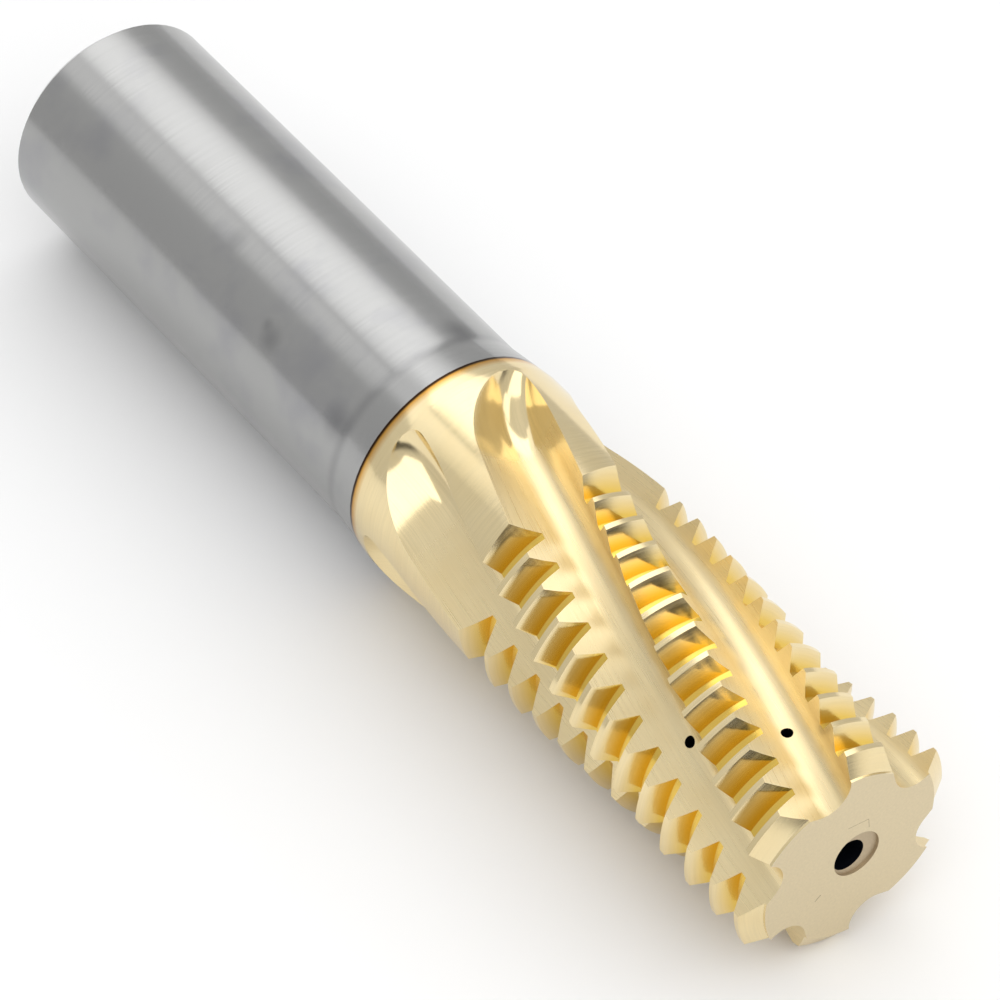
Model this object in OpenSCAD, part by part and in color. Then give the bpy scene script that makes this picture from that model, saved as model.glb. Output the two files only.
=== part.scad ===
// Solid carbide thread mill, one piece: a plain round shank and a coated cutting head.
// The head carries rows of ring-shaped thread teeth between helical flutes. Every row is relieved
// behind its cutting edge, and coolant leaves through the tip and through a hole in each flute.
// The tool stands on the end of its shank, tip up, with its axis on Z and the origin at the shank's end.

/* [Shank] */
// Diameter of the round shank
shank_d = 20; // [14:0.5:28]
// Length of the whole tool
overall_l = 105; // [90:1:140]
// Width of the 45 degree chamfer at the shank's end
shank_chamfer = 0.8; // [0.2:0.1:2]
// Length of the cone that joins the shank to the head
cone_l = 5; // [2:0.5:8]

/* [Thread teeth] */
// Cutting diameter over the tooth crests
cut_d = 21.2; // [19:0.1:24]
// Distance from tooth to tooth along the axis
pitch = 3; // [2.6:0.1:3.6]
// Teeth in a row, counting the last one, which runs into the plain head
teeth = 13; // [4:1:14]
// Depth of the grooves between the teeth
tooth_depth = 1.68; // [1:0.02:1.8]
// Flat on top of each tooth
crest_flat = 0.5; // [0.2:0.05:0.6]
// Angle of each flank to the plane across the axis, half of the thread's angle
flank_angle = 30; // [25:0.5:32]
// Flat between the end face and the first tooth
front_flat = 0.23; // [0.1:0.01:0.6]
// Radial drop behind the cutting edge, in millimetres for each degree of turn
relief = 0.025; // [0.01:0.001:0.035]

/* [Flutes] */
// Number of flutes
flutes = 6; // [4:1:6]
// Helix angle at the cutting diameter
helix_angle = 19.2; // [5:0.1:30]
// Depth of a flute below the crests
flute_depth = 3.7; // [3:0.1:5]
// Radius of a flute's round floor
flute_r = 2.2; // [1.8:0.1:2.6]
// Slope of a flute's heel side
heel_slope = 32.7; // [25:0.1:45]
// Full depth of flute behind the last groove
flute_tail = 7.7; // [2:0.1:12]
// Radius of the arc on which a flute runs out to the surface
runout_r = 7; // [5:0.5:15]
// Plain head between the flutes' ends and the cone
neck_margin = 0.3; // [0.2:0.1:3]

/* [Coolant] */
// Diameter of the central coolant bore
bore_d = 3; // [1:0.1:5]
// Diameter of the coolant exit in each flute
exit_d = 1; // [0.5:0.1:2]
// Distance from the tip of the exits in the second, fourth and sixth flutes
exit_near = 8.3; // [3:0.1:15]
// Distance from the tip of the exits in the other flutes
exit_far = 13.7; // [5:0.1:25]
// Diameter of the shallow countersink on the end face
sink_d = 4.4; // [3.5:0.1:8]
// Depth of the countersink
sink_depth = 0.25; // [0.1:0.05:1]
// Distance of the countersink's centre from the axis
sink_shift = 0.65; // [0:0.05:0.7]
// Direction of that shift around the axis
sink_turn = 144; // [0:1:359]

/* [Hidden] */
$fn = 96;

coat_colour = "#E3CF96";
carbide_colour = "#8E8E8C";

// Cuts pass the surface that they open by this much
cut_past = 1;
// The faceted head stands inside the round blank by this much where they meet, and reaches into it
joint_step = 0.03;
joint_overlap = 1;
// Straight facets on each land and on each flute's round floor
land_facets = 5;
floor_facets = 5;
// Stations along a flute's full-depth tail and along its run-out
tail_stations = 3;
runout_stations = 7;
// Share of the run-out that is cut before the flute's last sliver
runout_share = 0.985;
// A floor that stops short of its walls ends this many degrees inside the head's surface
floor_inset = 2;

shank_r = shank_d / 2;
crest_r = cut_d / 2;
root_r = crest_r - tooth_depth;
sector = 360 / flutes;
twist = tan(helix_angle) / crest_r * 180 / PI;
flank_l = tooth_depth * tan(flank_angle);

// A flute's section: a round floor whose centre lies on a radius, a radial rake wall that touches
// the floor's arc at its front, and a straight heel side that touches it at the back
floor_centre = crest_r - flute_depth + flute_r;
rake_lean = asin(flute_r / floor_centre);
flute_mid = sector - rake_lean;
rake_touch = -rake_lean;
heel_touch = -90 - heel_slope;

// Lengths along the axis, measured back from the tip
first_tooth = front_flat;
last_groove_end = first_tooth + (teeth - 1) * pitch;
flute_full_l = last_groove_end + flank_l + flute_tail;
runout_turn = acos(1 - flute_depth / runout_r);
head_l = flute_full_l + runout_r * sin(runout_turn) + neck_margin;

// Point of the flute's arc at a turn, seen along the axis: x towards the rake wall, y outwards
function floor_point(rise, turn) =
    [flute_r * cos(turn), floor_centre + rise + flute_r * sin(turn)];

// Point where a straight wall that leaves the arc at a turn reaches a radius
function wall_point(rise, turn, heading, radius) =
    let (start = floor_point(rise, turn), lean = start * heading)
    start + heading * (sqrt(lean * lean + radius * radius - start * start) - lean);

// Turn at which the arc itself reaches a radius, on the rake side
function arc_limit(rise, radius) =
    let (centre = floor_centre + rise,
         height = (radius * radius - centre * centre - flute_r * flute_r) / (2 * centre * flute_r))
    asin(max(-1, min(1, height)));

// Angle back from the cutting edge, and radius, of a point of the flute's section
function polar(point) = [flute_mid + atan2(point[0], point[1]), norm(point)];

function rake_corner(rise, radius) =
    let (limit = arc_limit(rise, radius))
    limit < rake_touch
        ? polar(floor_point(rise, limit))
        : polar(wall_point(rise, rake_touch, [sin(rake_lean), cos(rake_lean)], radius));

function heel_corner(rise, radius) =
    let (limit = -180 - arc_limit(rise, radius))
    limit > heel_touch
        ? polar(floor_point(rise, limit))
        : polar(wall_point(rise, heel_touch, [-cos(heel_slope), sin(heel_slope)], radius));

// Heel corner on a relieved land, whose radius depends on the corner's own angle
function relieved_heel(rise, radius, drop, guess, passes) =
    let (corner = heel_corner(rise, radius - drop * guess))
    passes == 0 ? corner : relieved_heel(rise, radius, drop, corner[0], passes - 1);

// Section of one sector, as angles and radii: the land from its cutting edge to its heel, then the floor
function sector_section(rise, radius, drop) =
    let (edge = rake_corner(rise, radius)[0] - sector,
         heel = relieved_heel(rise, radius, drop, sector / 2, 6),
         limit = arc_limit(rise, radius),
         from = max(heel_touch, -180 - limit + floor_inset),
         to = min(rake_touch, limit - floor_inset))
    concat(
        [for (i = [0 : land_facets])
            let (angle = edge + (heel[0] - edge) * i / land_facets)
            [angle, radius - drop * max(0, angle)]],
        [for (i = [0 : floor_facets])
            polar(floor_point(rise, from + (to - from) * i / floor_facets))]);

// One ring of points round the head. A slanted ring follows a flank back as the land's relief ends
function ring(depth, radius, drop, rise, slant) =
    let (section = sector_section(rise, radius, drop))
    [for (i = [0 : flutes - 1], point = section)
        let (back = depth + slant * max(0, point[0]) * tan(flank_angle),
             turn = -twist * back - point[0] - sector * i)
        [point[1] * cos(turn), point[1] * sin(turn), overall_l - back]];

// A ring with no flutes in it, whose points stand at the angles of the last ring that has them
function plain_ring(depth, radius, rise) =
    let (section = sector_section(rise, crest_r, 0))
    [for (i = [0 : flutes - 1], point = section)
        let (turn = -twist * depth - point[0] - sector * i)
        [radius * cos(turn), radius * sin(turn), overall_l - depth]];

function runout_rise(share) = runout_r * (1 - cos(runout_turn * share));

function runout_depth(share) = flute_full_l + runout_r * sin(runout_turn * share);

// All rings from the tip back to inside the blank
head_rings = concat(
    [ring(0, root_r, relief, 0, 0)],
    [for (i = [0 : teeth - 2])
        let (start = first_tooth + i * pitch)
        each [
            ring(start, root_r, relief, 0, 0),
            ring(start + flank_l, crest_r, relief, 0, 0),
            ring(start + flank_l + crest_flat, crest_r, relief, 0, 0),
            ring(start + 2 * flank_l + crest_flat, root_r, relief, 0, 0)]],
    [ring(last_groove_end, root_r, relief, 0, 0),
     ring(last_groove_end + flank_l, crest_r, 0, 0, relief)],
    [for (i = [1 : tail_stations])
        ring(flute_full_l - flute_tail * (1 - i / tail_stations), crest_r, 0, 0, 0)],
    [for (i = [1 : runout_stations])
        let (share = runout_share * i / runout_stations)
        ring(runout_depth(share), crest_r, 0, runout_rise(share), 0)],
    let (last_rise = runout_rise(runout_share))
    [plain_ring(head_l, crest_r - joint_step, last_rise),
     plain_ring(head_l + joint_overlap, min(shank_r, crest_r) - joint_overlap, last_rise)]);

// Toothed and fluted head, as one skin over its rings
module cutting_head() {
    around = len(head_rings[0]);
    last = len(head_rings) - 1;
    front = [for (i = [0 : around - 1]) i];
    rear = [for (i = [0 : around - 1]) last * around + around - 1 - i];
    skin = [for (ring_no = [0 : last - 1], i = [0 : around - 1])
        let (here = ring_no * around, next = (i + 1) % around, behind = here + around)
        each [
            [here + i, behind + i, here + next],
            [here + next, behind + i, behind + next]]];
    polyhedron(
        points = [for (points = head_rings) each points],
        faces = concat([front, rear], skin),
        convexity = 10);
}

// Round blank behind the head: chamfered shank and the cone up to the head
module shank() {
    head_z = overall_l - head_l;
    rotate_extrude()
        polygon([
            [0, 0],
            [shank_r - shank_chamfer, 0],
            [shank_r, shank_chamfer],
            [shank_r, head_z - cone_l],
            [crest_r, head_z],
            [0, head_z]]);
}

// Bore along the axis, its off-centre countersink on the end face, and an exit in the floor of each flute
module coolant_holes() {
    translate([0, 0, -cut_past])
        cylinder(h = overall_l + 2 * cut_past, d = bore_d);
    rotate(sink_turn)
        translate([sink_shift, 0, overall_l - sink_depth])
            cylinder(h = sink_depth + cut_past, d = sink_d);
    for (i = [0 : flutes - 1]) {
        depth = i % 2 == 0 ? exit_far : exit_near;
        rotate(-twist * depth - flute_mid - sector * i)
            translate([0, 0, overall_l - depth])
                rotate([0, 90, 0])
                    cylinder(h = crest_r, d = exit_d);
    }
}

module thread_mill() {
    difference() {
        union() {
            color(carbide_colour) shank();
            color(coat_colour) cutting_head();
        }
        color(coat_colour) coolant_holes();
    }
}

thread_mill();
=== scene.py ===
"""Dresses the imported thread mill: a finely cut visual body, its ground and coated finishes, and the photo's stage."""

import math

import bpy
from mathutils import Matrix, Vector


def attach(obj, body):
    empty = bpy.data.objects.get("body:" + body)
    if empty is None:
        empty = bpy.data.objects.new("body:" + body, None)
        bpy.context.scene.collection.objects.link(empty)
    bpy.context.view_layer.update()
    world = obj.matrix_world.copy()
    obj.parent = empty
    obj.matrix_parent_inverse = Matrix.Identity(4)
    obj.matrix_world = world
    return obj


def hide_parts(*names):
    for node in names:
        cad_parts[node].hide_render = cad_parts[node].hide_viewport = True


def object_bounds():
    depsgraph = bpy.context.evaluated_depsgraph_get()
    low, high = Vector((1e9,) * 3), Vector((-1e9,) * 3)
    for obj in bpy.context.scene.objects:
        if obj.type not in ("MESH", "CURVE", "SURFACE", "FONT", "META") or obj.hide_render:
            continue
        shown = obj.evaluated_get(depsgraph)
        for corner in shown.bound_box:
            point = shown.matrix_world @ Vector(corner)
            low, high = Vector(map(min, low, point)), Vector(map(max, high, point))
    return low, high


bl_info = {
    "name": "Thread Mill",
    "version": (1, 0, 0),
    "blender": (4, 5, 0),
    "location": "View3D > Sidebar > Thread Mill",
    "description": "Builds a solid carbide thread mill with its coating and a studio stage",
    "category": "Object",
}

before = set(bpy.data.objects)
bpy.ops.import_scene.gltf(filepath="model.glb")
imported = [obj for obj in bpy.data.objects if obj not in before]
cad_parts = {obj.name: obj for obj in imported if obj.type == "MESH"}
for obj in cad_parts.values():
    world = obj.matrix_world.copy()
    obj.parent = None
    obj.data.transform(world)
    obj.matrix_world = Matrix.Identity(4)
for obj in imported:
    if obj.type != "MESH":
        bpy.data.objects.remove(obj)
CAD_BOX = [list(corner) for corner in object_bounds()]
MM = 0.001

BODY = "mill_body"
NODE = "thread_mill"
SKIN_UV = "skin_mm"
GROOVE_UV = "groove_share"

# Steps of the visual skin, all finer than the eye follows in a render
LAND_STEPS = 10
HEEL_STEPS = 2
FLOOR_STEPS = 12
RAKE_STEPS = 2
FLANK_STEPS = 2
TAIL_STEPS = 8
RUNOUT_STEPS = 24
SHANK_STEPS = 8
HOLE_SIDES = 64
# Width over which the cone's shading turns into the shank's
CONE_EDGE = 0.4 * MM
# A flute's tail starts this far behind the last groove, whose far side slants back
TAIL_GAP = 1 * MM
# Share of the run-out that is cut before the flute's last sliver
RUNOUT_SHARE = 0.992
# A floor that stops short of its walls ends this far inside the head's surface
FLOOR_INSET = math.radians(1)
# Edges that turn by more than this stay sharp
SHARP_ANGLE = math.radians(26)
# Points closer than this are one: between two sectors, and along the rims of the holes
SECTOR_WELD = 0.002 * MM
RIM_WELD = 0.0005 * MM

# Finishes in the body's material list, each named for its material and how its surface was made
COAT_LAND, COAT_FLUTE, SHANK, END_FACE, BORE, SINK = range(6)
FINISH_NAMES = (
    "nitride-coated carbide ground round the land",
    "nitride-coated carbide ground along the flute",
    "cylindrically ground carbide",
    "nitride-coated face-ground carbide",
    # Painted shade: the walls of the coolant holes are painted near black
    "spark-eroded carbide painted dark for shade",
    "nitride-coated countersunk carbide",
)

# Roughness from the smooth to the rough side of the grinding lines
LAND_ROUGHNESS = (0.10, 0.18)
FLUTE_ROUGHNESS = (0.24, 0.38)
RUNOUT_ROUGHNESS = 0.13
SHANK_ROUGHNESS = (0.17, 0.22)
HOLE_ROUGHNESS = (0.25, 0.6)
FACE_ROUGHNESS = 0.5
# How much grinding lines stretch a highlight, and the quarter turn for lines across the tangent
GRIND_STRETCH = 0.7
QUARTER_TURN = 0.25
# Part of the noise's range that carries its pattern
NOISE_LOW, NOISE_HIGH = 0.3, 0.7
# The soft ring at the cone's end, in millimetres and depth of tone
RING_REACH, RING_DEPTH = 0.9, 0.28

# Stains on the shank, in millimetres: middle, reach and depth of tone
SHANK_STAINS = (
    ((3.2, -9.5, 36.7), 1.8, 0.42),
    ((2.5, -9.7, 35.6), 0.9, 0.30),
    ((-8.2, -5.7, 47.6), 2.4, 0.60),
    ((4.2, -9.1, 47.2), 2.4, 0.40),
    ((-0.7, -10.0, 27.4), 1.6, 0.25),
)

# Marks that handling left on the end face, in millimetres from the axis: start, end and width
END_FACE_MARKS = (
    ((-1.58, -3.19), (-3.20, -1.96), 0.05),
    ((-3.20, -1.96), (-2.74, -1.04), 0.05),
    ((4.46, 0.88), (3.74, 0.80), 0.09),
)

# Lamps over the tool, in metres right, away and up from its middle: place, size and brightness in a mirror
LAMPS = {
    "back softbox": ((0.35, 0.60, 0.70), (1.54, 0.50), 1.24),
    "back softbox edge": ((0.35, 0.97, 0.70), (1.54, 0.24), 0.85),
    "front softbox": ((0.30, -0.98, 0.70), (1.24, 1.54), 1.16),
    "right panel": ((0.98, 0.05, 0.70), (0.88, 0.50), 1.0),
    "left panel": ((-0.61, 0.49, 0.70), (0.38, 0.56), 0.52),
}
# Brightness of the room at the horizon, what it gains overhead, and what the camera sees of it
ROOM_LEVEL = 0.67
ROOM_RISE = 0.16
ROOM_SEEN = 0.96
# Share of its brightness that the room lacks low down in front
ROOM_DARK = 0.90
TABLE_SIZE = 6


def linear(hex_colour):
    """Turns an sRGB hex colour into linear red, green and blue."""
    parts = [int(hex_colour[i : i + 2], 16) / 255 for i in (1, 3, 5)]
    return tuple(p / 12.92 if p <= 0.04045 else ((p + 0.055) / 1.055) ** 2.4 for p in parts)


def length(name, description, millimetres):
    return bpy.props.FloatProperty(
        name=name, description=description, default=millimetres * MM, unit="LENGTH", precision=5
    )


def angle(name, description, degrees):
    return bpy.props.FloatProperty(
        name=name, description=description, default=math.radians(degrees), subtype="ANGLE", unit="ROTATION"
    )


def colour(name, description, hex_colour):
    return bpy.props.FloatVectorProperty(
        name=name, description=description, default=linear(hex_colour), subtype="COLOR", size=3, min=0, max=1
    )


class HeadSizes(bpy.types.PropertyGroup):
    cut_diameter: length("Cutting diameter", "Diameter over the tooth crests", 21.2)
    pitch: length("Pitch", "Distance from tooth to tooth along the axis", 3)
    teeth: bpy.props.IntProperty(
        name="Teeth", description="Teeth in a row, with the last one, which runs into the plain head", default=13, min=4
    )
    tooth_depth: length("Tooth depth", "Depth of the grooves between the teeth", 1.68)
    crest_flat: length("Crest flat", "Flat on top of each tooth", 0.5)
    flank_angle: angle("Flank angle", "Angle of each flank to the plane across the axis", 30)
    front_flat: length("Front flat", "Flat between the end face and the first tooth", 0.23)
    relief: length("Relief", "Radial drop for each degree behind the cutting edge", 0.025)
    flutes: bpy.props.IntProperty(name="Flutes", description="Number of flutes", default=6, min=4)
    helix_angle: angle("Helix angle", "Helix angle at the cutting diameter", 19.2)
    flute_depth: length("Flute depth", "Depth of a flute below the crests", 3.7)
    flute_radius: length("Floor radius", "Radius of a flute's round floor", 2.2)
    heel_slope: angle("Heel slope", "Slope of a flute's heel side", 32.7)
    flute_tail: length("Flute tail", "Full depth of flute behind the last groove", 7.7)
    runout_radius: length("Run-out radius", "Radius of the arc on which a flute runs out", 7)
    neck_margin: length("Neck margin", "Plain head between the flutes' ends and the cone", 0.3)
    coat_length: length("Coated length", "Length of the coating from the tip", 53.1)


class ShankSizes(bpy.types.PropertyGroup):
    overall: bpy.props.FloatProperty(
        name="Overall length",
        description="Length of the whole tool, from the packed part",
        default=CAD_BOX[1][2],
        unit="LENGTH",
    )
    diameter: length("Shank diameter", "Diameter of the round shank", 20)
    chamfer: length("End chamfer", "Width of the chamfer at the shank's end", 0.8)
    cone: length("Cone", "Length of the cone between shank and head", 5)


class CoolantSizes(bpy.types.PropertyGroup):
    bore: length("Bore", "Diameter of the central coolant bore", 3)
    exit: length("Exit", "Diameter of the coolant exit in each flute", 1)
    exit_near: length("Near exits", "Distance of the nearer exits from the tip", 8.3)
    exit_far: length("Far exits", "Distance of the further exits from the tip", 13.7)
    sink: length("Countersink", "Diameter of the shallow countersink", 4.4)
    sink_depth: length("Countersink depth", "Depth of the countersink", 0.25)
    sink_shift: length("Countersink shift", "Distance of the countersink's centre from the axis", 0.65)
    sink_turn: angle("Shift direction", "Direction of the countersink's shift", 144)


class FinishColours(bpy.types.PropertyGroup):
    coat: colour("Coating", "Pale gold nitride coating", "#EEDDB2")
    coat_deep: colour("Coating, deep", "Coating where it is thicker", "#E8D2A0")
    # Painted reflection: the lands turn deeper amber towards the groove roots, standing in for light bounced between
    # the gold flanks
    groove_painted_reflection: colour("Coating in grooves", "Coating at the roots, where the flanks tint each other", "#E3BF5C")
    coat_edge: colour("Coating edge", "Dark line where the coating ends", "#3A2A22")
    coat_glow: colour("Coating glow", "Thin coating next to its edge", "#DDB571")
    carbide: colour("Carbide", "Ground bare carbide", "#A5A5A4")
    carbide_dark: colour("Carbide, dark", "Smudges on the shank", "#9B9B9D")
    carbide_mark: colour("Carbide, marks", "Stains that handling and the coating left on the shank", "#6C6C6E")
    end_face: colour("End face", "Matt ground and coated end face", "#D8C9A8")
    sink: colour("Countersink", "Countersink round the bore", "#B9A88C")
    scratch: colour("Scratch", "Fine scratches on the end face", "#A08F72")
    # Painted shade: the walls of the coolant holes are painted near black for the darkness inside them
    bore: colour("Bore", "Inside of the coolant holes", "#0B0E18")


class StageSettings(bpy.types.PropertyGroup):
    camera: bpy.props.FloatVectorProperty(
        name="Camera", description="Place of the camera", default=(-0.01974, -0.39973, 0.33150), subtype="TRANSLATION"
    )
    heading: angle("Heading", "Turn of the view about the vertical", -2.773)
    pitch: angle("Pitch", "Tilt of the view below the horizon", -34.343)
    roll: angle("Roll", "Turn of the picture about the view", 135.0)
    lens: bpy.props.FloatProperty(
        name="Lens", description="Focal length on a 36 mm sensor", default=212.70, subtype="DISTANCE_CAMERA"
    )
    table_turn: angle("Table direction", "Side on which the tool lies against the table", 57.8)
    table: colour("Table", "White paper on the table", "#F2F2F2")


class HeadForm:
    """Sizes that follow from the head's own, and the section of one land and its flute."""

    def __init__(self, head):
        self.head = head
        self.crest_r = head.cut_diameter / 2
        self.root_r = self.crest_r - head.tooth_depth
        self.sector = math.tau / head.flutes
        self.twist = math.tan(head.helix_angle) / self.crest_r
        self.flank = head.tooth_depth * math.tan(head.flank_angle)
        self.drop = math.degrees(1) * head.relief
        self.floor_centre = self.crest_r - head.flute_depth + head.flute_radius
        self.rake_lean = math.asin(head.flute_radius / self.floor_centre)
        self.flute_mid = self.sector - self.rake_lean
        self.heel_touch = -math.pi / 2 - head.heel_slope
        self.last_groove = head.front_flat + (head.teeth - 1) * head.pitch
        self.full_flute = self.last_groove + self.flank + head.flute_tail
        self.runout_turn = math.acos(1 - head.flute_depth / head.runout_radius)
        self.length = self.full_flute + head.runout_radius * math.sin(self.runout_turn) + head.neck_margin

    def floor_point(self, rise, turn):
        """Point of the flute's round floor at a turn: x towards the rake wall, y outwards."""
        r = self.head.flute_radius
        return Vector((r * math.cos(turn), self.floor_centre + rise + r * math.sin(turn)))

    def wall_point(self, rise, turn, heading, radius):
        """Point where a straight wall that leaves the floor at a turn reaches a radius."""
        start = self.floor_point(rise, turn)
        lean = start.dot(heading)
        return start + heading * (math.sqrt(lean * lean + radius * radius - start.dot(start)) - lean)

    def arc_limit(self, rise, radius):
        """Turn at which the floor itself reaches a radius, on the rake side."""
        centre, r = self.floor_centre + rise, self.head.flute_radius
        height = (radius * radius - centre * centre - r * r) / (2 * centre * r)
        return math.asin(max(-1, min(1, height)))

    def polar(self, point):
        """Angle back from the cutting edge, and radius, of a point of the flute's section."""
        return self.flute_mid + math.atan2(point.x, point.y), point.length

    def rake_corner(self, rise, radius):
        limit = self.arc_limit(rise, radius)
        if limit < -self.rake_lean:
            return self.floor_point(rise, limit)
        heading = Vector((math.sin(self.rake_lean), math.cos(self.rake_lean)))
        return self.wall_point(rise, -self.rake_lean, heading, radius)

    def heel_corner(self, rise, radius):
        limit = -math.pi - self.arc_limit(rise, radius)
        if limit > self.heel_touch:
            return self.floor_point(rise, limit)
        slope = self.head.heel_slope
        return self.wall_point(rise, self.heel_touch, Vector((-math.cos(slope), math.sin(slope))), radius)

    def section(self, rise, radius, drop):
        """Angles back from the cutting edge, and radii: land, heel side, floor and rake wall of one sector."""
        rake = self.rake_corner(rise, radius)
        edge = self.polar(rake)[0] - self.sector
        # The land's radius at the heel depends on the heel's own angle, so it is found in a few passes
        back = self.sector / 2
        for _ in range(8):
            heel = self.heel_corner(rise, radius - drop * back)
            back = self.polar(heel)[0]
        limit = self.arc_limit(rise, radius)
        start = max(self.heel_touch, -math.pi - limit + FLOOR_INSET)
        end = min(-self.rake_lean, limit - FLOOR_INSET)
        floor = [self.floor_point(rise, start + (end - start) * i / FLOOR_STEPS) for i in range(FLOOR_STEPS + 1)]
        points = []
        for i in range(LAND_STEPS):
            turn = edge + (back - edge) * i / LAND_STEPS
            points.append((turn, radius - drop * max(0, turn)))
        points += [self.polar(heel.lerp(floor[0], i / HEEL_STEPS)) for i in range(HEEL_STEPS)]
        points += [self.polar(p) for p in floor[:-1]]
        points += [self.polar(floor[-1].lerp(rake, i / RAKE_STEPS)) for i in range(RAKE_STEPS)]
        points.append((edge + self.sector, radius))
        return points

    def toothed_stations(self):
        """Depth, radius, relief, flute rise and slant of each ring, from the end face to the last groove's far side."""
        head = self.head
        found = [(0, self.root_r, self.drop, 0, 0), (head.front_flat, self.root_r, self.drop, 0, 0)]
        for tooth in range(head.teeth - 1):
            start = head.front_flat + tooth * head.pitch
            far = start + self.flank + head.crest_flat
            for i in range(1, FLANK_STEPS + 1):
                t = i / FLANK_STEPS
                found.append((start + self.flank * t, self.root_r + head.tooth_depth * t, self.drop, 0, 0))
            for i in range(FLANK_STEPS + 1):
                t = i / FLANK_STEPS
                found.append((far + self.flank * t, self.crest_r - head.tooth_depth * t, self.drop, 0, 0))
            found.append((start + head.pitch, self.root_r, self.drop, 0, 0))
        for i in range(1, FLANK_STEPS + 1):
            t = i / FLANK_STEPS
            depth, radius = self.last_groove + self.flank * t, self.root_r + head.tooth_depth * t
            found.append((depth, radius, self.drop * (1 - t), 0, self.drop * t))
        return found

    def plain_stations(self):
        """Rings of the plain head: the flutes' full-depth tails and their run-outs."""
        head, found = self.head, []
        start = self.full_flute - head.flute_tail + TAIL_GAP
        for i in range(1, TAIL_STEPS + 1):
            found.append((start + (self.full_flute - start) * i / TAIL_STEPS, self.crest_r, 0, 0, 0))
        for i in range(1, RUNOUT_STEPS + 1):
            turn = self.runout_turn * RUNOUT_SHARE * i / RUNOUT_STEPS
            depth = self.full_flute + head.runout_radius * math.sin(turn)
            found.append((depth, self.crest_r, 0, head.runout_radius * (1 - math.cos(turn)), 0))
        return found


def round_stations(form, shank):
    """Depth and radius of each ring behind the flutes: cone, coating's edge, shank and its chamfer."""
    coat_end = form.head.coat_length
    cone_end, shank_r = form.length + shank.cone, shank.diameter / 2
    found = [(form.length, form.crest_r)]
    for depth in (coat_end, cone_end - CONE_EDGE, cone_end):
        found.append((depth, form.crest_r + (shank_r - form.crest_r) * (depth - form.length) / shank.cone))
    start, end = cone_end + CONE_EDGE, shank.overall - shank.chamfer
    for i in range(SHANK_STEPS + 1):
        found.append((start + (end - start) * i / SHANK_STEPS, shank_r))
    found.append((shank.overall, shank_r - shank.chamfer))
    return found


def sector_mesh(head, shank):
    """Skin of one sixth of the tool, end face and shank end left open. Returns its mesh.

    Relieved teeth on a helix come from no hand tool, so the points follow the section rule ring by ring.
    One UV map holds millimetres around and along the skin, the other each point's share of the groove's depth."""
    form = HeadForm(head)
    rings, shares = [], []
    for depth, radius, drop, rise, slant in form.toothed_stations() + form.plain_stations():
        section = form.section(rise, radius, drop)
        inside = depth > head.front_flat + form.flank / 2
        shares.append((form.crest_r - radius) / head.tooth_depth if inside else 0)
        heel, end = section[LAND_STEPS][0], len(section) - 1
        ring = []
        for i, (turn, r) in enumerate(section):
            back = max(0, turn) if i <= LAND_STEPS else heel * (end - i) / (end - LAND_STEPS)
            ring.append((turn, r, depth + slant * back * math.tan(head.flank_angle)))
        rings.append(ring)
    fluted = len(rings)
    turns = [turn for turn, radius in section]
    for depth, radius in round_stations(form, shank):
        rings.append([(turn, radius, depth) for turn in turns])
        shares.append(0)

    # Behind the flutes the rings no longer turn, because a twisted skin would draw the shank in
    around, turned = len(turns), form.full_flute + head.runout_radius
    floor_start = LAND_STEPS + HEEL_STEPS
    points, land_places, flute_places, grooves = [], [], [], []
    for ring, share in zip(rings, shares):
        flat = [Vector((radius * math.cos(turn), radius * math.sin(turn))) for turn, radius, depth in ring]
        runs = [0.0]
        for near, far in zip(flat, flat[1:]):
            runs.append(runs[-1] + (far - near).length / MM)
        for run, (turn, radius, depth) in zip(runs, ring):
            a = -form.twist * min(depth, turned) - turn
            points.append((radius * math.cos(a), radius * math.sin(a), shank.overall - depth))
            land_places.append((run, depth / MM))
            flute_places.append((run - runs[floor_start], depth / MM))
            grooves.append((share, 0.5))
    faces, finishes = [], []
    for r in range(len(rings) - 1):
        for i in range(around - 1):
            a, b = r * around + i, (r + 1) * around + i
            faces.append((a, b, b + 1, a + 1))
            if rings[r][0][2] >= head.coat_length - RIM_WELD:
                finishes.append(SHANK)
            else:
                finishes.append(COAT_LAND if i < LAND_STEPS or r >= fluted - 1 else COAT_FLUTE)
    mesh = bpy.data.meshes.new(BODY)
    mesh.from_pydata(points, [], faces)
    mesh.polygons.foreach_set("material_index", finishes)
    for name in (SKIN_UV, GROOVE_UV):
        mesh.uv_layers.new(name=name)
    for face, finish in zip(mesh.polygons, finishes):
        places = flute_places if finish == COAT_FLUTE else land_places
        for loop, vertex in zip(face.loop_indices, face.vertices):
            mesh.uv_layers[SKIN_UV].data[loop].uv = places[vertex]
            mesh.uv_layers[GROOVE_UV].data[loop].uv = grooves[vertex]
    mesh.update()
    return mesh


def deselect():
    if bpy.context.object and bpy.context.object.mode != "OBJECT":
        bpy.ops.object.mode_set(mode="OBJECT")
    bpy.ops.object.select_all(action="DESELECT")


def activate(piece):
    deselect()
    piece.select_set(True)
    bpy.context.view_layer.objects.active = piece


def repeat_sector(flutes):
    """Copies the active sector round the axis and joins the copies into one skin."""
    bpy.ops.object.mode_set(mode="EDIT")
    bpy.ops.mesh.select_all(action="SELECT")
    bpy.ops.mesh.spin(
        steps=flutes, dupli=True, angle=math.tau, use_auto_merge=False, center=(0, 0, 0), axis=(0, 0, 1)
    )
    bpy.ops.mesh.select_all(action="SELECT")
    bpy.ops.mesh.remove_doubles(threshold=SECTOR_WELD)
    bpy.ops.object.mode_set(mode="OBJECT")


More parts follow.
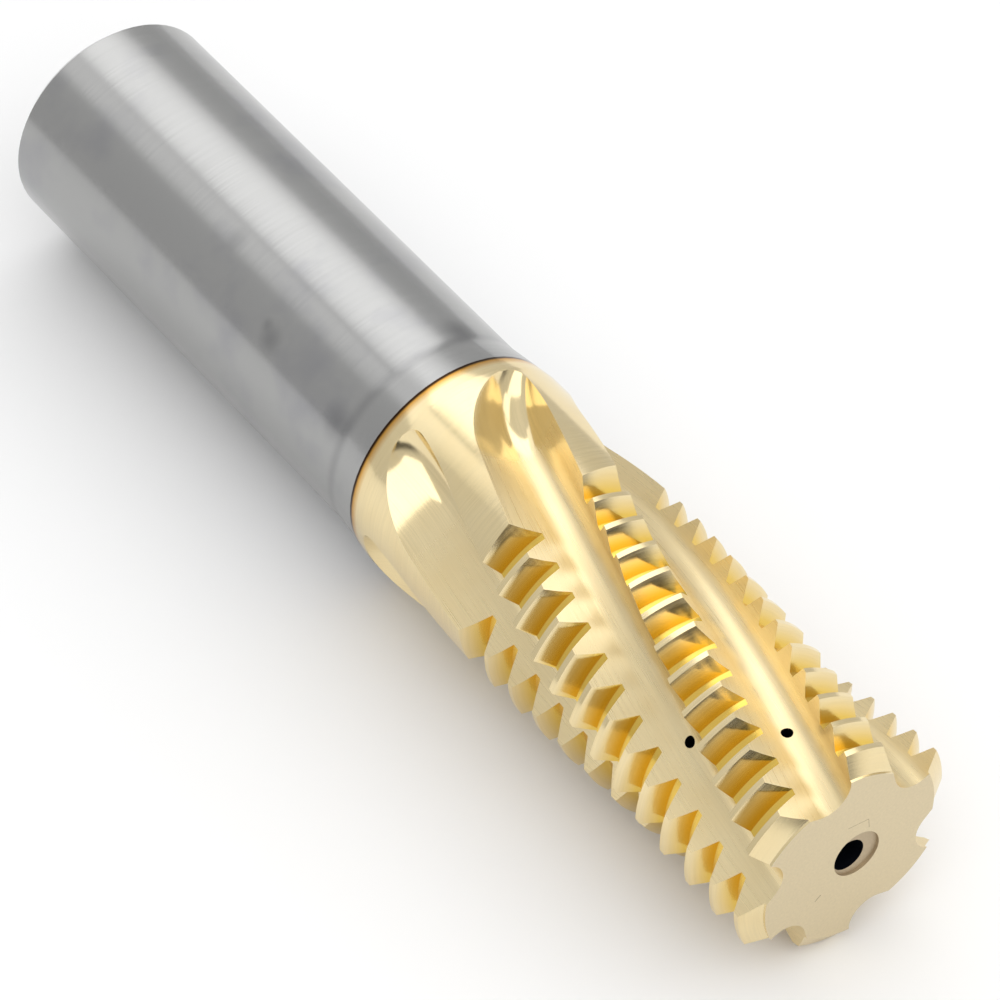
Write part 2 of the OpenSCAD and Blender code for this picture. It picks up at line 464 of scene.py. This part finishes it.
def close_ends(piece, finishes):
    """Fills the open rings at both ends with flat faces. Each takes the finish given for its height."""
    bpy.ops.object.mode_set(mode="EDIT")
    bpy.ops.mesh.select_all(action="SELECT")
    bpy.ops.mesh.fill_holes(sides=0)
    bpy.ops.mesh.select_all(action="SELECT")
    bpy.ops.mesh.normals_make_consistent(inside=False)
    bpy.ops.object.mode_set(mode="OBJECT")
    for face in piece.data.polygons:
        if len(face.vertices) > 4:
            face.material_index = min(finishes, key=lambda found: abs(found[0] - face.center.z))[1]


def drill(piece, radius, start, end, finish):
    """Adds the cutter of a round hole between two points. The hole's wall will take the given finish."""
    middle, run = (start + end) / 2, end - start
    deselect()
    bpy.ops.mesh.primitive_cylinder_add(
        vertices=HOLE_SIDES,
        radius=radius,
        depth=run.length,
        location=middle,
        rotation=run.to_track_quat("Z", "Y").to_euler(),
    )
    tool = bpy.context.object
    for material in piece.data.materials:
        tool.data.materials.append(material)
    for face in tool.data.polygons:
        face.material_index = finish
    return tool


def cut(piece, tools):
    """Takes the cutters out of a piece, all in one go, and removes them."""
    box = bpy.data.collections.new("cutters")
    for tool in tools:
        box.objects.link(tool)
    activate(piece)
    holes = piece.modifiers.new("holes", "BOOLEAN")
    holes.operation, holes.solver = "DIFFERENCE", "EXACT"
    holes.operand_type, holes.collection = "COLLECTION", box
    bpy.ops.object.modifier_apply(modifier=holes.name)
    for tool in tools:
        bpy.data.objects.remove(tool)
    bpy.data.collections.remove(box)
    # A hole's rim can pass a point of the skin so closely that it leaves slivers of no width
    bpy.ops.object.mode_set(mode="EDIT")
    bpy.ops.mesh.select_all(action="SELECT")
    bpy.ops.mesh.remove_doubles(threshold=RIM_WELD)
    bpy.ops.object.mode_set(mode="OBJECT")


def coolant_tools(body, form, coolant, overall):
    """Cutters of the countersink, the bore through the tool and the exit in each flute."""
    tip, past = Vector((0, 0, overall)), Vector((0, 0, MM))
    shift = Matrix.Rotation(coolant.sink_turn, 3, "Z") @ Vector((coolant.sink_shift, 0, 0))
    sunk = tip + shift - Vector((0, 0, coolant.sink_depth))
    tools = [
        drill(body, coolant.sink / 2, sunk, tip + shift + past, SINK),
        drill(body, coolant.bore / 2, -past, tip + past, BORE),
    ]
    for flute in range(form.head.flutes):
        depth = coolant.exit_far if flute % 2 == 0 else coolant.exit_near
        turn = -form.twist * depth - form.flute_mid - form.sector * flute
        outwards = Vector((math.cos(turn), math.sin(turn), 0))
        level = Vector((0, 0, overall - depth))
        tools.append(drill(body, coolant.exit / 2, level + outwards * MM, level + outwards * form.crest_r, BORE))
    return tools


class MILL_OT_body(bpy.types.Operator):
    """Cut the tool's visual body: teeth, flutes, shank and coolant holes"""

    bl_idname = "mill.body"
    bl_label = "Cut Body"

    def execute(self, context):
        scene = context.scene
        head, shank = scene.mill_head, scene.mill_shank
        body = bpy.data.objects.new(BODY, sector_mesh(head, shank))
        context.collection.objects.link(body)
        for name in FINISH_NAMES:
            body.data.materials.append(bpy.data.materials.new(name))
        activate(body)
        repeat_sector(head.flutes)
        close_ends(body, ((shank.overall, END_FACE), (0, SHANK)))
        cut(body, coolant_tools(body, HeadForm(head), scene.mill_coolant, shank.overall))
        if not any(face.material_index == BORE for face in body.data.polygons):
            raise RuntimeError("The coolant holes were not cut")
        activate(body)
        bpy.ops.object.shade_smooth_by_angle(angle=SHARP_ANGLE)
        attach(body, "root")
        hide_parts(NODE)
        return {"FINISHED"}


def add_node(tree, kind, links=None, **settings):
    """Adds a shader node, sets its settings, and feeds its inputs with values or other nodes' outputs."""
    made = tree.nodes.new(kind)
    for key, value in settings.items():
        setattr(made, key, value)
    for key, value in (links or {}).items():
        if isinstance(value, bpy.types.NodeSocket):
            tree.links.new(value, made.inputs[key])
        else:
            made.inputs[key].default_value = value
    return made


def opaque(rgb):
    return (*rgb, 1.0)


def clear_shader(material):
    """Gives a material an empty tree with a Principled shader and returns both."""
    material.use_nodes = True
    tree = material.node_tree
    tree.nodes.clear()
    shader = add_node(tree, "ShaderNodeBsdfPrincipled")
    add_node(tree, "ShaderNodeOutputMaterial", {"Surface": shader.outputs["BSDF"]})
    return tree, shader


def coated_finish(material, colours, lengthwise, edge_z, runout):
    """Nitride coating on ground carbide: a pale gold metal whose grinding lines show in its gloss.

    Lines run along a flute and around a land. Grit lines are about 0.02 mm apart in life, too fine to
    show, and are drawn about 0.1 mm apart. Near its rear edge the coating is thin, so it turns amber and dark.
    On a land the grooves are painted deeper amber towards their roots, a painted reflection between the gold flanks.
    Where the flutes run out, this many millimetres from the tip, the wheel alone leaves a smoother surface."""
    tree, shader = clear_shader(material)
    skin = add_node(tree, "ShaderNodeUVMap", uv_map=SKIN_UV)
    across, along = 9.0, 0.12
    lines = add_node(
        tree,
        "ShaderNodeMapping",
        {"Vector": skin.outputs["UV"], "Scale": (across, along, 1) if lengthwise else (along, across, 1)},
    )
    grit = add_node(
        tree,
        "ShaderNodeTexNoise",
        {"Vector": lines.outputs["Vector"], "Scale": 1.0, "Detail": 3.0, "Roughness": 0.6},
    )
    place = add_node(tree, "ShaderNodeTexCoord")
    # Patches of slightly thicker coating, about 4 mm wide
    cloud = add_node(
        tree,
        "ShaderNodeTexNoise",
        {"Vector": place.outputs["Object"], "Scale": 1 / (4 * MM), "Detail": 2.0, "Roughness": 0.5},
    )
    tone = add_node(
        tree,
        "ShaderNodeMix",
        {"Factor": cloud.outputs["Fac"], "A": opaque(colours.coat), "B": opaque(colours.coat_deep)},
        data_type="RGBA",
    )
    streak = add_node(
        tree,
        "ShaderNodeMapRange",
        {
            "Value": grit.outputs["Fac"],
            "From Min": NOISE_LOW,
            "From Max": NOISE_HIGH,
            "To Min": 0.93,
            "To Max": 1.04,
        },
    )
    tint = add_node(
        tree,
        "ShaderNodeMix",
        {"Factor": 1.0, "A": tone.outputs["Result"], "B": streak.outputs["Result"]},
        data_type="RGBA",
        blend_type="MULTIPLY",
    ).outputs["Result"]
    # Painted reflection: the land's colour turns deeper amber with the groove's depth, standing in for light bounced
    # between the gold flanks
    if not lengthwise:
        groove = add_node(tree, "ShaderNodeUVMap", uv_map=GROOVE_UV)
        share = add_node(tree, "ShaderNodeSeparateXYZ", {"Vector": groove.outputs["UV"]})
        deep = add_node(
            tree, "ShaderNodeMapRange", {"Value": share.outputs["X"], "From Min": 0.05, "From Max": 0.8}
        )
        tint = add_node(
            tree,
            "ShaderNodeMix",
            {"Factor": deep.outputs["Result"], "A": tint, "B": opaque(colours.groove_painted_reflection)},
            data_type="RGBA",
        ).outputs["Result"]
    # The coating's last 2 mm: a dark line at its edge, then amber, then its full tone
    split = add_node(tree, "ShaderNodeSeparateXYZ", {"Vector": place.outputs["Object"]})
    from_edge = add_node(
        tree,
        "ShaderNodeMapRange",
        {"Value": split.outputs["Z"], "From Min": edge_z, "From Max": edge_z + 2 * MM},
    )
    thin = add_node(tree, "ShaderNodeValToRGB", {"Fac": from_edge.outputs["Result"]})
    stops = thin.color_ramp
    stops.elements[0].position, stops.elements[0].color = 0.10, opaque(colours.coat_edge)
    stops.elements[1].position, stops.elements[1].color = 0.20, opaque(colours.coat_glow)
    stops.elements.new(0.55).color = (1, 1, 1, 1)
    worn = add_node(
        tree,
        "ShaderNodeMix",
        {"Factor": 1.0, "A": tint, "B": thin.outputs["Color"]},
        data_type="RGBA",
        blend_type="MULTIPLY",
    )
    smooth, rough = FLUTE_ROUGHNESS if lengthwise else LAND_ROUGHNESS
    polish = add_node(
        tree,
        "ShaderNodeMapRange",
        {
            "Value": grit.outputs["Fac"],
            "From Min": NOISE_LOW,
            "From Max": NOISE_HIGH,
            "To Min": smooth,
            "To Max": rough,
        },
    ).outputs["Result"]
    if lengthwise:
        where = add_node(tree, "ShaderNodeSeparateXYZ", {"Vector": skin.outputs["UV"]})
        left = add_node(
            tree,
            "ShaderNodeMapRange",
            {"Value": where.outputs["Y"], "From Min": runout - 0.9, "From Max": runout + 0.1},
        )
        polish = add_node(
            tree, "ShaderNodeMix", {"Factor": left.outputs["Result"], "A": polish, "B": RUNOUT_ROUGHNESS}
        ).outputs["Result"]
    ridges = add_node(
        tree, "ShaderNodeBump", {"Height": grit.outputs["Fac"], "Strength": 0.35, "Distance": 0.004 * MM}
    )
    around = add_node(tree, "ShaderNodeTangent", direction_type="UV_MAP", uv_map=SKIN_UV)
    tree.links.new(worn.outputs["Result"], shader.inputs["Base Color"])
    tree.links.new(polish, shader.inputs["Roughness"])
    tree.links.new(ridges.outputs["Normal"], shader.inputs["Normal"])
    tree.links.new(around.outputs["Tangent"], shader.inputs["Tangent"])
    shader.inputs["Metallic"].default_value = 1.0
    shader.inputs["Anisotropic"].default_value = GRIND_STRETCH
    shader.inputs["Anisotropic Rotation"].default_value = 0.0 if lengthwise else QUARTER_TURN


def shank_finish(material, colours, ring_z, stains):
    """Cylindrically ground bare carbide: a satin grey metal with fine rings and faint hand smudges.

    A soft dark ring where the cone begins, and a few stains, are left from coating and handling. The grinding
    rings are about 0.02 mm apart in life, too fine to show, and are drawn about 0.15 mm apart."""
    tree, shader = clear_shader(material)
    place = add_node(tree, "ShaderNodeTexCoord")
    rings = add_node(
        tree, "ShaderNodeMapping", {"Vector": place.outputs["Object"], "Scale": (60, 60, 1 / (0.15 * MM))}
    )
    grit = add_node(tree, "ShaderNodeTexNoise", {"Vector": rings.outputs["Vector"], "Scale": 1.0, "Detail": 3.0})
    # Smudges about 6 mm wide
    smudge = add_node(
        tree,
        "ShaderNodeTexNoise",
        {"Vector": place.outputs["Object"], "Scale": 1 / (6 * MM), "Detail": 3.0, "Roughness": 0.5},
    )
    amount = add_node(
        tree, "ShaderNodeMapRange", {"Value": smudge.outputs["Fac"], "From Min": 0.52, "From Max": 0.75}
    )
    tone = add_node(
        tree,
        "ShaderNodeMix",
        {"Factor": amount.outputs["Result"], "A": opaque(colours.carbide), "B": opaque(colours.carbide_dark)},
        data_type="RGBA",
    ).outputs["Result"]
    split = add_node(tree, "ShaderNodeSeparateXYZ", {"Vector": place.outputs["Object"]})
    height = add_node(tree, "ShaderNodeMath", {0: split.outputs["Z"], 1: ring_z}, operation="SUBTRACT")
    off_ring = add_node(tree, "ShaderNodeMath", {0: height.outputs[0]}, operation="ABSOLUTE")
    marks = [(off_ring.outputs[0], RING_REACH, RING_DEPTH)]
    for middle, reach, depth in stains:
        away = add_node(
            tree,
            "ShaderNodeVectorMath",
            {0: place.outputs["Object"], 1: Vector(middle) * MM},
            operation="DISTANCE",
        )
        marks.append((away.outputs["Value"], reach, depth))
    for distance, reach, depth in marks:
        stain = add_node(
            tree,
            "ShaderNodeMapRange",
            {"Value": distance, "From Min": 0.0, "From Max": reach * MM, "To Min": depth, "To Max": 0.0},
            interpolation_type="SMOOTHSTEP",
        )
        tone = add_node(
            tree,
            "ShaderNodeMix",
            {"Factor": stain.outputs["Result"], "A": tone, "B": opaque(colours.carbide_mark)},
            data_type="RGBA",
        ).outputs["Result"]
    smooth, rough = SHANK_ROUGHNESS
    gloss = add_node(
        tree,
        "ShaderNodeMapRange",
        {
            "Value": grit.outputs["Fac"],
            "From Min": NOISE_LOW,
            "From Max": NOISE_HIGH,
            "To Min": smooth,
            "To Max": rough,
        },
    )
    around = add_node(tree, "ShaderNodeTangent", direction_type="RADIAL", axis="Z")
    tree.links.new(tone, shader.inputs["Base Color"])
    tree.links.new(gloss.outputs["Result"], shader.inputs["Roughness"])
    tree.links.new(around.outputs["Tangent"], shader.inputs["Tangent"])
    shader.inputs["Metallic"].default_value = 1.0
    shader.inputs["Anisotropic"].default_value = GRIND_STRETCH
    shader.inputs["Anisotropic Rotation"].default_value = QUARTER_TURN


def line_mask(tree, place, start, end, width):
    """Mask that is 1 on a straight mark between two points of the end face, in metres."""
    middle, run = (start + end) / 2, end - start
    turned = add_node(
        tree,
        "ShaderNodeMapping",
        {"Vector": place, "Location": (middle.x, middle.y, 0), "Rotation": (0, 0, math.atan2(run.y, run.x))},
        vector_type="TEXTURE",
    )
    split = add_node(tree, "ShaderNodeSeparateXYZ", {"Vector": turned.outputs["Vector"]})
    inside = []
    for axis, half in (("X", run.length / 2), ("Y", width / 2)):
        size = add_node(tree, "ShaderNodeMath", {0: split.outputs[axis]}, operation="ABSOLUTE")
        inside.append(add_node(tree, "ShaderNodeMath", {0: size.outputs[0], 1: half}, operation="LESS_THAN"))
    both = add_node(tree, "ShaderNodeMath", {0: inside[0].outputs[0], 1: inside[1].outputs[0]}, operation="MULTIPLY")
    return both.outputs[0]


def end_face_finish(material, rgb, scratch, marks):
    """Face-ground and coated carbide: matt beige with a grain of about 0.25 mm, and the scratches of handling."""
    tree, shader = clear_shader(material)
    place = add_node(tree, "ShaderNodeTexCoord")
    grain = add_node(
        tree,
        "ShaderNodeTexNoise",
        {"Vector": place.outputs["Object"], "Scale": 1 / (0.25 * MM), "Detail": 4.0, "Roughness": 0.7},
    )
    light = add_node(
        tree,
        "ShaderNodeMapRange",
        {"Value": grain.outputs["Fac"], "From Min": 0.25, "From Max": 0.75, "To Min": 0.93, "To Max": 1.05},
    )
    tone = add_node(
        tree,
        "ShaderNodeMix",
        {"Factor": 1.0, "A": opaque(rgb), "B": light.outputs["Result"]},
        data_type="RGBA",
        blend_type="MULTIPLY",
    ).outputs["Result"]
    for start, end, width in marks:
        mask = line_mask(tree, place.outputs["Object"], Vector(start) * MM, Vector(end) * MM, width * MM)
        tone = add_node(
            tree, "ShaderNodeMix", {"Factor": mask, "A": tone, "B": opaque(scratch)}, data_type="RGBA"
        ).outputs["Result"]
    ridges = add_node(
        tree, "ShaderNodeBump", {"Height": grain.outputs["Fac"], "Strength": 0.3, "Distance": 0.01 * MM}
    )
    tree.links.new(tone, shader.inputs["Base Color"])
    tree.links.new(ridges.outputs["Normal"], shader.inputs["Normal"])
    shader.inputs["Metallic"].default_value = 0.75
    shader.inputs["Roughness"].default_value = FACE_ROUGHNESS


def hole_finish_painted_shade(material, rgb):
    """Inside of a spark-eroded coolant hole: slightly oily carbide with pits of about 0.2 mm, its colour painted near
    black as shade for the darkness deep in the hole.
    """
    tree, shader = clear_shader(material)
    place = add_node(tree, "ShaderNodeTexCoord")
    pits = add_node(
        tree, "ShaderNodeTexNoise", {"Vector": place.outputs["Object"], "Scale": 1 / (0.2 * MM), "Detail": 3.0}
    )
    smooth, rough = HOLE_ROUGHNESS
    gloss = add_node(
        tree, "ShaderNodeMapRange", {"Value": pits.outputs["Fac"], "To Min": smooth, "To Max": rough}
    )
    tree.links.new(gloss.outputs["Result"], shader.inputs["Roughness"])
    # Painted shade: the wall's colour is near black, standing in for the darkness deep in the hole
    shader.inputs["Base Color"].default_value = opaque(rgb)
    shader.inputs["Metallic"].default_value = 0.6


class MILL_OT_finish(bpy.types.Operator):
    """Give the body its coated, ground and drilled finishes"""

    bl_idname = "mill.finish"
    bl_label = "Finish Body"

    def execute(self, context):
        scene = context.scene
        body = bpy.data.objects.get(BODY)
        if body is None:
            raise RuntimeError("The body has to be cut before it is finished")
        colours, overall, slots = scene.mill_colours, scene.mill_shank.overall, body.data.materials
        form = HeadForm(scene.mill_head)
        edge_z = overall - scene.mill_head.coat_length
        ring_z = overall - form.length - scene.mill_shank.cone
        coated_finish(slots[COAT_LAND], colours, False, edge_z, form.full_flute / MM)
        coated_finish(slots[COAT_FLUTE], colours, True, edge_z, form.full_flute / MM)
        shank_finish(slots[SHANK], colours, ring_z, SHANK_STAINS)
        end_face_finish(slots[END_FACE], colours.end_face, colours.scratch, END_FACE_MARKS)
        end_face_finish(slots[SINK], colours.sink, colours.scratch, ())
        hole_finish_painted_shade(slots[BORE], colours.bore)
        return {"FINISHED"}


def table_finish(name, rgb):
    """White matt paper: it takes the tool's soft shadow, and is clear from behind so that the tool shows there too."""
    material = bpy.data.materials.new(name)
    material.use_nodes = True
    tree = material.node_tree
    tree.nodes.clear()
    white = add_node(tree, "ShaderNodeBsdfDiffuse", {"Color": opaque(rgb)})
    side = add_node(tree, "ShaderNodeNewGeometry")
    clear = add_node(tree, "ShaderNodeBsdfTransparent")
    surface = add_node(
        tree,
        "ShaderNodeMixShader",
        {0: side.outputs["Backfacing"], 1: white.outputs["BSDF"], 2: clear.outputs["BSDF"]},
    )
    add_node(tree, "ShaderNodeOutputMaterial", {"Surface": surface.outputs["Shader"]})
    return material


def lay_table(stage, under, reach):
    """Lays the paper against the tooth crests, on the side on which the tool rests."""
    deselect()
    bpy.ops.mesh.primitive_plane_add(size=TABLE_SIZE, location=under * reach)
    table = bpy.context.object
    table.name = "table"
    table.rotation_euler = (-under).to_track_quat("Z", "Y").to_euler()
    table.data.materials.append(table_finish("white matt paper", stage.table))


def place_camera(scene, stage):
    """Sets the camera as the photo's was fitted, and returns it."""
    data = bpy.data.cameras.new("photo")
    data.lens, data.sensor_width = stage.lens, 36
    data.clip_start, data.clip_end = 0.01, 10
    camera = bpy.data.objects.new("photo", data)
    heading = Matrix.Rotation(stage.heading, 4, "Z")
    pitch = Matrix.Rotation(math.pi / 2 + stage.pitch, 4, "X")
    roll = Matrix.Rotation(stage.roll, 4, "Z")
    camera.matrix_world = Matrix.Translation(stage.camera) @ heading @ pitch @ roll
    bpy.context.collection.objects.link(camera)
    scene.camera = camera
    return camera


def softbox(name, place, up, right, size, radiance):
    """Flat lamp hung over the tool and facing down on it, with the brightness that a mirror would show."""
    data = bpy.data.lights.new(name, "AREA")
    data.shape, data.size, data.size_y = "RECTANGLE", size[0], size[1]
    data.energy = radiance * math.pi * size[0] * size[1]
    lamp = bpy.data.objects.new(name, data)
    turned = Matrix((right, up.cross(right), up)).transposed()
    lamp.matrix_world = Matrix.Translation(place) @ turned.to_4x4()
    bpy.context.collection.objects.link(lamp)


def light_room(scene, up, front):
    """Pale room that grows brighter overhead, and is dark low down in front.

    The dark part is what gives the thread grooves their brown tops. The camera sees the room plain and pale."""
    world = bpy.data.worlds.new("studio")
    scene.world = world
    world.use_nodes = True
    tree = world.node_tree
    tree.nodes.clear()
    path = add_node(tree, "ShaderNodeLightPath")
    place = add_node(tree, "ShaderNodeTexCoord").outputs["Generated"]
    height = add_node(tree, "ShaderNodeVectorMath", {0: place, 1: up}, operation="DOT_PRODUCT")
    above = add_node(tree, "ShaderNodeMath", {0: height.outputs["Value"], 1: 0.0}, operation="MAXIMUM")
    rising = add_node(tree, "ShaderNodeMath", {0: above.outputs[0], 1: 2.0}, operation="POWER")
    level = add_node(
        tree, "ShaderNodeMath", {0: rising.outputs[0], 1: ROOM_RISE, 2: ROOM_LEVEL}, operation="MULTIPLY_ADD"
    )
    facing = add_node(tree, "ShaderNodeVectorMath", {0: place, 1: front}, operation="DOT_PRODUCT")
    ahead = add_node(
        tree, "ShaderNodeMapRange", {"Value": facing.outputs["Value"], "From Min": 0.60, "From Max": 0.85}
    )
    low = add_node(
        tree, "ShaderNodeMapRange", {"Value": height.outputs["Value"], "From Min": 0.22, "From Max": 0.10}
    )
    dark = add_node(tree, "ShaderNodeMath", {0: ahead.outputs[0], 1: low.outputs[0]}, operation="MULTIPLY")
    share = add_node(
        tree, "ShaderNodeMath", {0: dark.outputs[0], 1: -ROOM_DARK, 2: 1.0}, operation="MULTIPLY_ADD"
    )
    room = add_node(tree, "ShaderNodeMath", {0: level.outputs[0], 1: share.outputs[0]}, operation="MULTIPLY")
    tone = add_node(
        tree, "ShaderNodeMix", {"Factor": path.outputs["Is Camera Ray"], "A": room.outputs[0], "B": ROOM_SEEN}
    )
    sky = add_node(tree, "ShaderNodeBackground", {"Color": (1, 1, 1, 1), "Strength": tone.outputs["Result"]})
    add_node(tree, "ShaderNodeOutputWorld", {"Surface": sky.outputs["Background"]})


class MILL_OT_stage(bpy.types.Operator):
    """Set the table, lamps, world and the photo's camera"""

    bl_idname = "mill.stage"
    bl_label = "Set Stage"

    def execute(self, context):
        scene = context.scene
        stage = scene.mill_stage
        under = Vector((math.cos(stage.table_turn), math.sin(stage.table_turn), 0))
        lay_table(stage, under, scene.mill_head.cut_diameter / 2)
        camera = place_camera(scene, stage)

        # Directions as the photo shows them: right, away from the camera along the table, and up from it
        right, up = camera.matrix_world.to_3x3().col[0], -under
        away = up.cross(right)
        middle = Vector((0, 0, scene.mill_shank.overall / 2))
        for name, (place, size, radiance) in LAMPS.items():
            offset = right * place[0] + away * place[1] + up * place[2]
            softbox(name, middle + offset, up, right, size, radiance)
        light_room(scene, up, right * 0.6 - away * 0.8)
        scene.view_settings.view_transform = "Standard"
        return {"FINISHED"}


class MILL_PT_panel(bpy.types.Panel):
    bl_idname = "MILL_PT_panel"
    bl_label = "Thread Mill"
    bl_space_type = "VIEW_3D"
    bl_region_type = "UI"
    bl_category = "Thread Mill"

    def draw(self, context):
        for operator in (MILL_OT_body, MILL_OT_finish, MILL_OT_stage):
            self.layout.operator(operator.bl_idname)
        for name in SETTINGS:
            group = getattr(context.scene, name)
            box = self.layout.box()
            for prop in group.bl_rna.properties:
                if prop.identifier not in ("rna_type", "name"):
                    box.prop(group, prop.identifier)


SETTINGS = {
    "mill_head": HeadSizes,
    "mill_shank": ShankSizes,
    "mill_coolant": CoolantSizes,
    "mill_colours": FinishColours,
    "mill_stage": StageSettings,
}
CLASSES = (*SETTINGS.values(), MILL_OT_body, MILL_OT_finish, MILL_OT_stage, MILL_PT_panel)


def register():
    for made in CLASSES:
        bpy.utils.register_class(made)
    for name, group in SETTINGS.items():
        setattr(bpy.types.Scene, name, bpy.props.PointerProperty(type=group))


def unregister():
    for name in SETTINGS:
        delattr(bpy.types.Scene, name)
    for made in reversed(CLASSES):
        bpy.utils.unregister_class(made)


def main():
    register()
    bpy.ops.mill.body()
    bpy.ops.mill.finish()
    bpy.ops.mill.stage()


if __name__ == "__main__":
    main()
